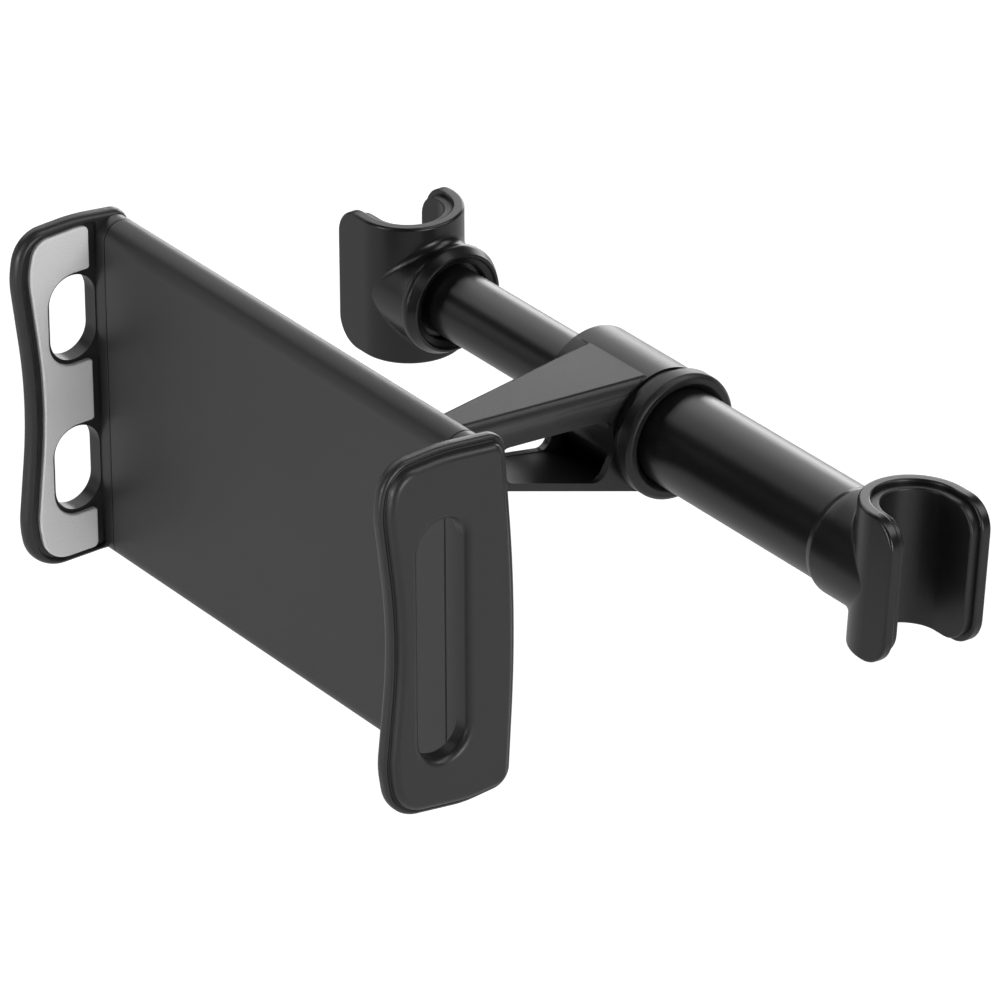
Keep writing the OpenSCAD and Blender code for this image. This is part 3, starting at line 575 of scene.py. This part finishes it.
def cad_copy(node):
    """bmesh of a CAD node with its split vertices welded and flat faces merged."""
    work = bmesh.new()
    work.from_mesh(nodes[node].data)
    bmesh.ops.remove_doubles(work, verts=work.verts, dist=WELD)
    bmesh.ops.dissolve_limit(
        work, angle_limit=math.radians(FLAT_DEGREES), verts=work.verts, edges=work.edges
    )
    return work


# %% [markdown]
# ## Outlines of the jaws
#
# A real jaw is one moulding: a wall that stands at the plate's end, and two flat arms
# that slide in the plate. Seen along the bar, the wall has a shallow waist in front, a
# full nose at the top and a rounder chin. The two jaws differ a little at the chin and
# the shoulder, so one function draws both from the four places that differ.

# %% Outlines of the jaws
PLATE = np.array([-84.0, -85.9, 8.45])
PLATE_HALF, PLATE_T, PLATE_H = 53.3, 7.9, 73.3


def jaw_outline(chin_z, sole_z, heel_z, shoulder):
    """Corners (y, z, radius) of a jaw, from the waist down and round to the nose."""
    return [
        (-15.6, 1.5, 110), (-18.5, -24.5, 20), (-16.8, chin_z, 8.5), (0, sole_z, 25),
        (10.6, heel_z, 4), (12.7, -2, 300), shoulder, (-4, 38.5, 40),
        (-17, 38.1, 6.8), (-18.8, 29, 20),
    ]


RIGHT_OUTLINE = jaw_outline(-35.4, -38.0, -37.4, (9.8, 36.8, 4))
LEFT_OUTLINE = jaw_outline(-35.0, -35.2, -36.6, (7.7, 36.9, 4))
for side, outline in (("right", RIGHT_OUTLINE), ("left", LEFT_OUTLINE)):
    print(side, "jaw is", np.ptp(rounded(outline), axis=0).round(1), "mm deep and tall")

# %% [markdown]
# ## Recess and pad
#
# Inside its rim the wall has a recess, and the pad fills it but for a fine gap. Both
# outlines could be drawn anew. They look right only when the rim and the gap are even
# in width, so they are the jaw's own outline, moved inward and cut off along the plate.
# The left pad has two notches round the wall's holes, the right one a long notch round
# its slot.

# %% Outlines of the recess and the pad
# Width of the rim, and of the rim with the gap round the pad, along each edge.
RIM_WIDTHS = np.array([1.9, 1.9, 1.2, 1.2, 1.9, 1.9, 1.6, 1.6, 1.9, 1.9])
PAD_WIDTHS = np.array([3.2, 3.2, 1.5, 1.5, 3.2, 3.2, 2.1, 2.1, 3.2, 3.2])
SLOT = dict(width=11.07, height=50.0, middle=(-5.565, -0.7))
HOLES = [dict(width=10.6, height=18.0, middle=(-5.5, 1.0 + s * 16.35)) for s in (-1, 1)]
RECESS_BACK, RECESS_CORNER_R, NOSE_CORNER_R = 0.1, 0.6, 6.0
PAD_BACK, PAD_CORNER_R = -1.8, 1.2
NOTCH_GAP, NOTCH_MORE_R, NOTCH_MOUTH_R = 0.8, 0.7, 0.6


def recess_corners(outline, widths, back_y, corner):
    """The jaw's outline moved in by the widths, cut off by a line along the plate."""
    c = inset(outline, widths)

    def cut(a, b):
        """Corner where the line from a to b meets the cut: the share of the way is
        t = (back_y - y of a) / (y of b - y of a)."""
        t = (back_y - a[0]) / (b[0] - a[0])
        return (back_y, a[1] + t * (b[1] - a[1]), corner)

    nose = (*c[7][:2], NOSE_CORNER_R)
    return [c[0], c[1], c[2], cut(c[2], c[3]), cut(c[7], c[6]), nose, c[8], c[9]]


def pad_corners(outline, notches):
    """Pad outline: the recess less a gap, notched from the plate's side."""
    whole = recess_corners(outline, PAD_WIDTHS, PAD_BACK, PAD_CORNER_R)
    back = whole[3][0]
    inner = []
    for hole in notches:
        front = hole["middle"][0] - hole["width"] / 2 - NOTCH_GAP
        low = hole["middle"][1] - hole["height"] / 2 - NOTCH_GAP
        high = hole["middle"][1] + hole["height"] / 2 + NOTCH_GAP
        r = hole["width"] / 2 + NOTCH_MORE_R
        inner += [
            (back, low, NOTCH_MOUTH_R), (front, low, r),
            (front, high, r), (back, high, NOTCH_MOUTH_R),
        ]
    return [*whole[:4], *inner, *whole[4:]]


left_pad_size = np.ptp(rounded(pad_corners(LEFT_OUTLINE, HOLES)), axis=0)
print("left pad is", left_pad_size.round(1), "mm deep and tall")

# %% [markdown]
# ## Wall of a jaw
#
# Across its wall a jaw is a rim with a rolled edge, then a fine groove, then a raised
# panel. A bevel on the CAD wall would round every edge alike and has no groove. So the
# wall is lofted: each ring is the jaw's outline, moved inward by d at the distance u
# outward from the plate's end, and the list of (u, d) is the wall's cross-section.

# %% Wall of a jaw
# Distances u: the rim's inner and outer face, the panel, the recess floor.
RIM_IN, RIM_OUT, PANEL_OUT, WALL_IN = 2.6, 5.6, 7.3, 3.5
# The rim's edge rolls over this far along u, and by this share of its width.
RIM_ROLL, RIM_ROLL_SHARE = 1.7, 0.7
MOUTH_ROLL, MOUTH_ROLL_SHARE = 0.7, 0.28
RIM_EDGE_R = 0.8
GROOVE = [(RIM_OUT - 0.12, 0.95), (RIM_OUT - 0.22, 1.12), (RIM_OUT - 0.12, 1.27)]
PANEL_STEP, PANEL_EDGE_R = 1.4, 1.5


def side_place(side):
    """Function that puts an outline (y, z) of a jaw at (side (PLATE_HALF + u), y, z)
    from the plate's middle; side is 1 on the right and -1 on the left."""
    def place(u, outline):
        x = np.full(len(outline), side * (PLATE_HALF + u))
        return np.column_stack([x, outline]) + PLATE
    return place


def roll(length, depth, steps):
    """Points (u, d) of a quarter ellipse from (RIM_IN, depth) to (RIM_IN + length, 0):
    u = RIM_IN + length (1 - sin t) and d = depth (1 - cos t)."""
    turn = np.linspace(math.pi / 2, 0.0, steps)
    return [(RIM_IN + length * (1 - math.sin(t)), depth * (1 - math.cos(t))) for t in turn]


def wall(skin, place, outline, holes, lip_r):
    """Closed wall: the cross-section carried round the outline, the recess and the
    holes made of rings in the same way, and a flat sheet on each face that is left."""
    profile = [
        *roll(RIM_ROLL, RIM_WIDTHS * RIM_ROLL_SHARE, 9),
        *fillet((RIM_OUT - RIM_EDGE_R, RIM_EDGE_R), RIM_EDGE_R, 270, 350, 6),
        *GROOVE,
        *fillet((PANEL_OUT - PANEL_EDGE_R, PANEL_STEP + PANEL_EDGE_R), PANEL_EDGE_R, 275, 360, 9),
    ]
    outer = skin.loft([place(u, rounded(inset(outline, d))) for u, d in profile])

    recess = recess_corners(outline, RIM_WIDTHS, RECESS_BACK, RECESS_CORNER_R)
    around = np.concatenate([RIM_WIDTHS[:3], [0.0], RIM_WIDTHS[6:]])
    mouth = [*roll(MOUTH_ROLL, -around * MOUTH_ROLL_SHARE, 7), (WALL_IN, 0.0)]
    inner = skin.loft([place(u, rounded(inset(recess, d))) for u, d in mouth])

    lip = [*fillet((PANEL_OUT - lip_r, lip_r), lip_r, 0, -90, 8), (WALL_IN, 0.0)]
    walls = [
        skin.loft([place(u, stadium(grow=g, **hole)) for u, g in lip]) for hole in holes
    ]
    skin.sheet(outer[0], [inner[0]])
    skin.sheet(inner[-1], [w[-1] for w in walls])
    skin.sheet(outer[-1], [w[0] for w in walls])


print("wall is", round(PANEL_OUT - RIM_IN, 2), "mm thick from the rim to the panel")

# %% [markdown]
# ## Base strip and sliding arms
#
# A strip with the plate's own section joins the wall to the plate, and the two arms
# run from it into the plate. The arms are right in the CAD already, so they are kept:
# a copy of the CAD jaw is cut by a plane inside the strip, and what lies on the plate's
# side goes into the same skin.

# %% Base strip and sliding arms
SEAM, ARM_CUT = 0.15, 0.1


def base_strip(skin, place):
    """Block with the plate's section, smaller by d at the distance u, closed by two
    flat ends, of which the outer one lies inside the wall."""
    section = [
        (SEAM, 0.35), (SEAM + 0.1, 0.1), (SEAM + 0.35, 0.0),
        (WALL_IN + 0.1, 0.0), (WALL_IN + 0.4, 0.35),
    ]
    base = skin.loft([
        place(u, stadium(PLATE_T - 2 * d, PLATE_H - 2 * d, (PLATE_T / 2, 0.0)))
        for u, d in section
    ])
    skin.sheet(base[0])
    skin.sheet(base[-1])


def sliding_arms(skin, side, node):
    """What the CAD jaw has on the plate's side of the plane that stands half the plate,
    the seam and the cut outward from the plate's middle."""
    arms = cad_copy(node)
    cut_x = (PLATE[0] + side * (PLATE_HALF + SEAM + ARM_CUT)) * MM
    everything = [*arms.verts, *arms.edges, *arms.faces]
    bmesh.ops.bisect_plane(
        arms, geom=everything, plane_co=(cut_x, 0, 0), plane_no=(side, 0, 0), clear_outer=True
    )
    skin.take(arms)


def jaw(side, outline, holes, lip_r, name, node):
    """Wall, base strip and sliding arms in one skin."""
    skin, place = Skin(), side_place(side)
    wall(skin, place, outline, holes, lip_r)
    base_strip(skin, place)
    sliding_arms(skin, side, node)
    return skin.piece(name, node, "jaw_black")


jaw(1, RIGHT_OUTLINE, [SLOT], 1.5, "right_jaw_moulding", "right_jaw")
jaw(-1, LEFT_OUTLINE, HOLES, 0.5, "left_jaw_moulding", "left_jaw")

# %% [markdown]
# ## Pads
#
# Each pad is a thin sheet of pale silicone in the recess. Its edge isn't sharp but
# rolls over softly. A bevel could do that. The outline is at hand as corners with
# radii, though, so the roll is a few more rings, each a little further in.

# %% Pads
PAD_FACE, PAD_ROLL = 2.5, 0.35


def pad(side, outline, holes, name, node):
    """Sheet from the recess floor to PAD_FACE whose edge ends in a quarter circle of
    radius PAD_ROLL, closed by two flat faces."""
    skin, place = Skin(), side_place(side)
    corners = pad_corners(outline, holes)
    edge = [(WALL_IN, 0.0), *fillet((PAD_FACE + PAD_ROLL, PAD_ROLL), PAD_ROLL, 270, 180)]
    rings = skin.loft([place(u, rounded(inset(corners, d))) for u, d in edge])
    skin.sheet(rings[0])
    skin.sheet(rings[-1])
    return skin.piece(name, node, "grey_silicone")


pad(1, RIGHT_OUTLINE, [SLOT], "right_pad_silicone", "right_pad")
pad(-1, LEFT_OUTLINE, HOLES, "left_pad_silicone", "left_pad")

# %% [markdown]
# ## Channels of the hooks
#
# A real hook is a hard U-shaped shell with a rubber lining that takes the headrest's
# post. It could be a tube with a side cut away, but the rounded prong tips and the
# small edge roundings would be hard to cut cleanly. So the wall is thought of as a flat
# plate with rounded ends, bent to a U: it runs up one prong, round the post and down
# the other. Near a tip the half height falls along the prong's corner arc,
# h/2 - R + sqrt(R^2 - (R - t)^2) at the distance t from the tip.

# %% Channel wall
HOOK_R, HOOK_H, HOOK_LIFT, HOOK_WALL = 11.2, 30.4, 0.6, 2.4
PRONG_SHORT, PRONG_LONG, PRONG_CORNER = 6.2, 8.8, 6.0
CHANNEL_R = HOOK_R - HOOK_WALL
LEG_POINTS = 4


def channel_wall(skin, radii, reaches, height, corner, edges):
    """Upright U-shaped wall with rounded prong tips, open towards +X. radii are its
    outer and inner radius, edges the rounding of the edges there, and reaches the
    lengths of the front and back prong. Unrolled, the wall is a plate: at the depth t
    below its face the outline is smaller by e = R - sqrt(R^2 - (R - t)^2)."""
    bends = np.linspace(0.0, math.pi / 2, 13)
    turn = np.linspace(-math.pi / 2, -1.5 * math.pi, 73)

    def leg(reach, e):
        """Distances x from the tip inward and the half heights there."""
        near = (corner - e) * (1 - np.cos(bends))
        straight = np.linspace(reach - corner, 0.0, LEG_POINTS + 2)[1:-1]
        half = height / 2 - e - (corner - e) * (1 - np.sin(bends))
        full = np.full(LEG_POINTS, height / 2 - e)
        return np.concatenate([reach - e - near, straight]), np.concatenate([half, full])

    def loop(r, e):
        """Edge of the unrolled plate at the radius r, smaller by e all round."""
        front_x, front_h = leg(reaches[0], e)
        back_x, back_h = leg(reaches[1], e)
        x = np.concatenate([front_x, r * np.cos(turn), back_x[::-1]])
        y = np.concatenate([np.full(len(front_x), -r), r * np.sin(turn), np.full(len(back_x), r)])
        half = np.concatenate([front_h, np.full(len(turn), height / 2 - e), back_h[::-1]])
        upper = np.column_stack([x, y, HOOK_LIFT + half])
        lower = np.column_stack([x, y, HOOK_LIFT - half])
        return np.vstack([upper, lower[::-1]])

    (r_out, r_in), (edge_out, edge_in) = radii, edges
    arc = np.linspace(0.0, math.pi / 2, 7)
    from_side, from_face = 1 - np.cos(arc), 1 - np.sin(arc)
    section = [
        *zip(r_out - edge_out * from_side, edge_out * from_face),
        *zip(r_in + edge_in * from_face, edge_in * from_side),
    ]
    rings = skin.loft([loop(r, e) for r, e in section])
    half_count = len(rings[0]) // 2
    for ring in (rings[0], rings[-1]):
        skin.strip(ring[:half_count], ring[half_count:][::-1], closed=False)


print("the unlined channel is", round(2 * CHANNEL_R, 2), "mm wide")

# %% [markdown]
# ## Collars of the hooks
#
# Between the channel and the tube the same moulding has a collar, turned round the
# bar, that flows into the round wall with a fillet. A boolean union would leave a hard
# line there, and a bevel along such a saddle curve easily breaks. So the fillet is
# worked out for every direction round the bar: the angle between neck and wall changes
# from place to place, and the fillet's length with it. The collar then runs on until it
# is inside the wall.

# %% Collar
# The fillet ends just under the wall's face, and its root goes deeper.
FILLET_SINK, ROOT_DEPTH = 0.03, 1.2


def collar(skin, profile, r_run, blend=2.0, steps=128):
    """Collar turned about X from (r, x) points, with a fillet of radius blend where it
    meets the round wall. The normals n1 of the neck and n2 of the wall turn by the angle
    phi between them, so the fillet starts L = blend * tan(phi / 2) before the junction J
    and ends L after it, and P(u) = ((1-u)^2 P0 + 2 w u (1-u) J + u^2 P1) / ((1-u)^2 +
    2 w u (1-u) + u^2) with w = cos(phi / 2) draws its arc."""
    turn = np.linspace(0.0, 2 * math.pi, steps, endpoint=False)
    y, z = np.cos(turn), np.sin(turn)
    rings = [np.column_stack([np.full(steps, x), r * y, r * z]) for r, x in profile]
    flat = np.sqrt(HOOK_R**2 - (r_run * y) ** 2)
    junction = np.column_stack([-flat, r_run * y, r_run * z])
    neck = np.column_stack([np.zeros(steps), y, z])
    face = np.column_stack([-flat, r_run * y, np.zeros(steps)]) / HOOK_R
    cosine = np.sum(neck * face, axis=1)
    phi = np.arccos(np.clip(cosine, -1.0, 1.0))
    reach = (blend * np.tan(phi / 2))[:, None]
    climb = neck - cosine[:, None] * face
    climb /= np.maximum(np.linalg.norm(climb, axis=1), 1e-6)[:, None]
    start = junction - reach * np.array([1.0, 0.0, 0.0])
    end = junction + reach * climb
    end[:, :2] *= ((HOOK_R - FILLET_SINK) / np.linalg.norm(end[:, :2], axis=1))[:, None]
    weight = np.cos(phi / 2)[:, None]
    last_x = profile[-1][1]
    for share in (0.35, 0.7):
        x = last_x * (1 - share) + np.maximum(start[:, 0], last_x) * share
        rings.append(np.column_stack([x, r_run * y, r_run * z]))
    for u in np.linspace(0.0, 1.0, 11):
        a, b, c = (1 - u) ** 2, 2 * weight * u * (1 - u), u**2
        rings.append((a * start + b * junction + c * end) / (a + b + c))
    deep = end.copy()
    deep[:, :2] *= (HOOK_R - ROOT_DEPTH) / HOOK_R
    rings.append(deep)
    skin.loft(rings)


# Radius of each collar at its distances behind the face of its mouth.
RIGHT_COLLAR = [
    (r, -18.3 + back) for r, back in (
        (10.02, 6), (10.02, 0.25), (10.2, 0.0), (10.5, 0.15), (11.0, 1.5), (11.1, 2.0),
    )
]
LEFT_COLLAR = [
    (r, -16.1 + back) for r, back in (
        (7.2, 3.0), (8.1, 2.9), (8.25, 1.1), (8.5, 0.85), (9.45, 0.6), (9.7, 0.35),
        (9.85, 0.1), (10.1, 0.0), (10.5, 0.12), (11.35, 1.6), (11.55, 2.0), (11.6, 2.4),
        (11.6, 3.1), (11.45, 3.5), (11.1, 3.8), (11.0, 4.2),
    )
]
for side, profile in (("right", RIGHT_COLLAR), ("left", LEFT_COLLAR)):
    print(side, "collar is", round(2 * max(r for r, x in profile), 2), "mm across")

# %% [markdown]
# ## Hooks and linings
#
# Each shell is a channel wall and a collar. Its lining is a second, thinner wall of
# the same kind, set back a little from every edge of the shell. Both are made at the
# origin and then placed: the right hook is turned a little about the bar, as in the
# photograph, and the left one faces the other way at the other post.

# %% Hooks and linings
LINER_T, LINER_BACK, LINER_TUCK, LINER_LESS_CORNER = 1.8, 1.0, 0.3, 0.6
# Rounding of the outer and of the inner edges.
SHELL_EDGES, LINER_EDGES = (0.6, 0.45), (0.3, 0.4)
POST_SPAN = 155.4
RIGHT_HOOK_TURN = -4.0
RIGHT_PLACE = Matrix.Rotation(math.radians(RIGHT_HOOK_TURN), 4, "X")
LEFT_PLACE = Matrix.Translation((-POST_SPAN, 0.0, 0.0)) @ Matrix.Rotation(math.pi, 4, "Z")

for side, matrix, profile in (
    ("right", RIGHT_PLACE, RIGHT_COLLAR),
    ("left", LEFT_PLACE, LEFT_COLLAR),
):
    shell = Skin()
    channel_wall(
        shell, (HOOK_R, CHANNEL_R), (PRONG_SHORT, PRONG_LONG), HOOK_H, PRONG_CORNER, SHELL_EDGES
    )
    collar(shell, profile, profile[-1][0])
    shell.place(matrix)
    shell.piece(side + "_hook_shell", side + "_hook", "hook_gloss_black")
    lining = Skin()
    channel_wall(
        lining, (CHANNEL_R + LINER_TUCK, CHANNEL_R - LINER_T),
        (PRONG_SHORT - LINER_BACK, PRONG_LONG - LINER_BACK),
        HOOK_H - 2 * LINER_BACK, PRONG_CORNER - LINER_LESS_CORNER, LINER_EDGES,
    )
    lining.place(matrix)
    lining.piece(side + "_hook_lining", side + "_hook_liner", "liner_rubber")

# %% [markdown]
# ## Softened mouldings
#
# The arm with its sleeve, its flanged ring, the lock nut and both halves of the plate
# have the right shape in the CAD, but their edges are perfectly sharp. Real mouldings
# never are, and the small rounding is what catches the light. Working them out again
# would gain nothing else, so a Bevel modifier rounds the edges that are sharper than a
# limit, each piece by its own width.

# %% Mouldings that keep their CAD shape
SOFTENED = {
    # node: name, rounding in mm, segments, limit in degrees
    "arm_body": ("arm_moulding", 0.45, 3, 32.0),
    "flange_ring": ("flange_ring_moulding", 0.2, 2, 25.0),
    "lock_nut": ("lock_nut_moulding", 0.2, 2, 30.0),
    "front_shell": ("front_shell_moulding", 0.25, 2, 40.0),
    "rear_cover": ("rear_cover_moulding", 0.25, 2, 40.0),
}
for node, (name, bevel, segments, limit) in SOFTENED.items():
    mesh = bpy.data.meshes.new(name)
    work = cad_copy(node)
    work.to_mesh(mesh)
    work.free()
    finish_piece(mesh, name, node, slot_of[node], bevel, segments, limit)
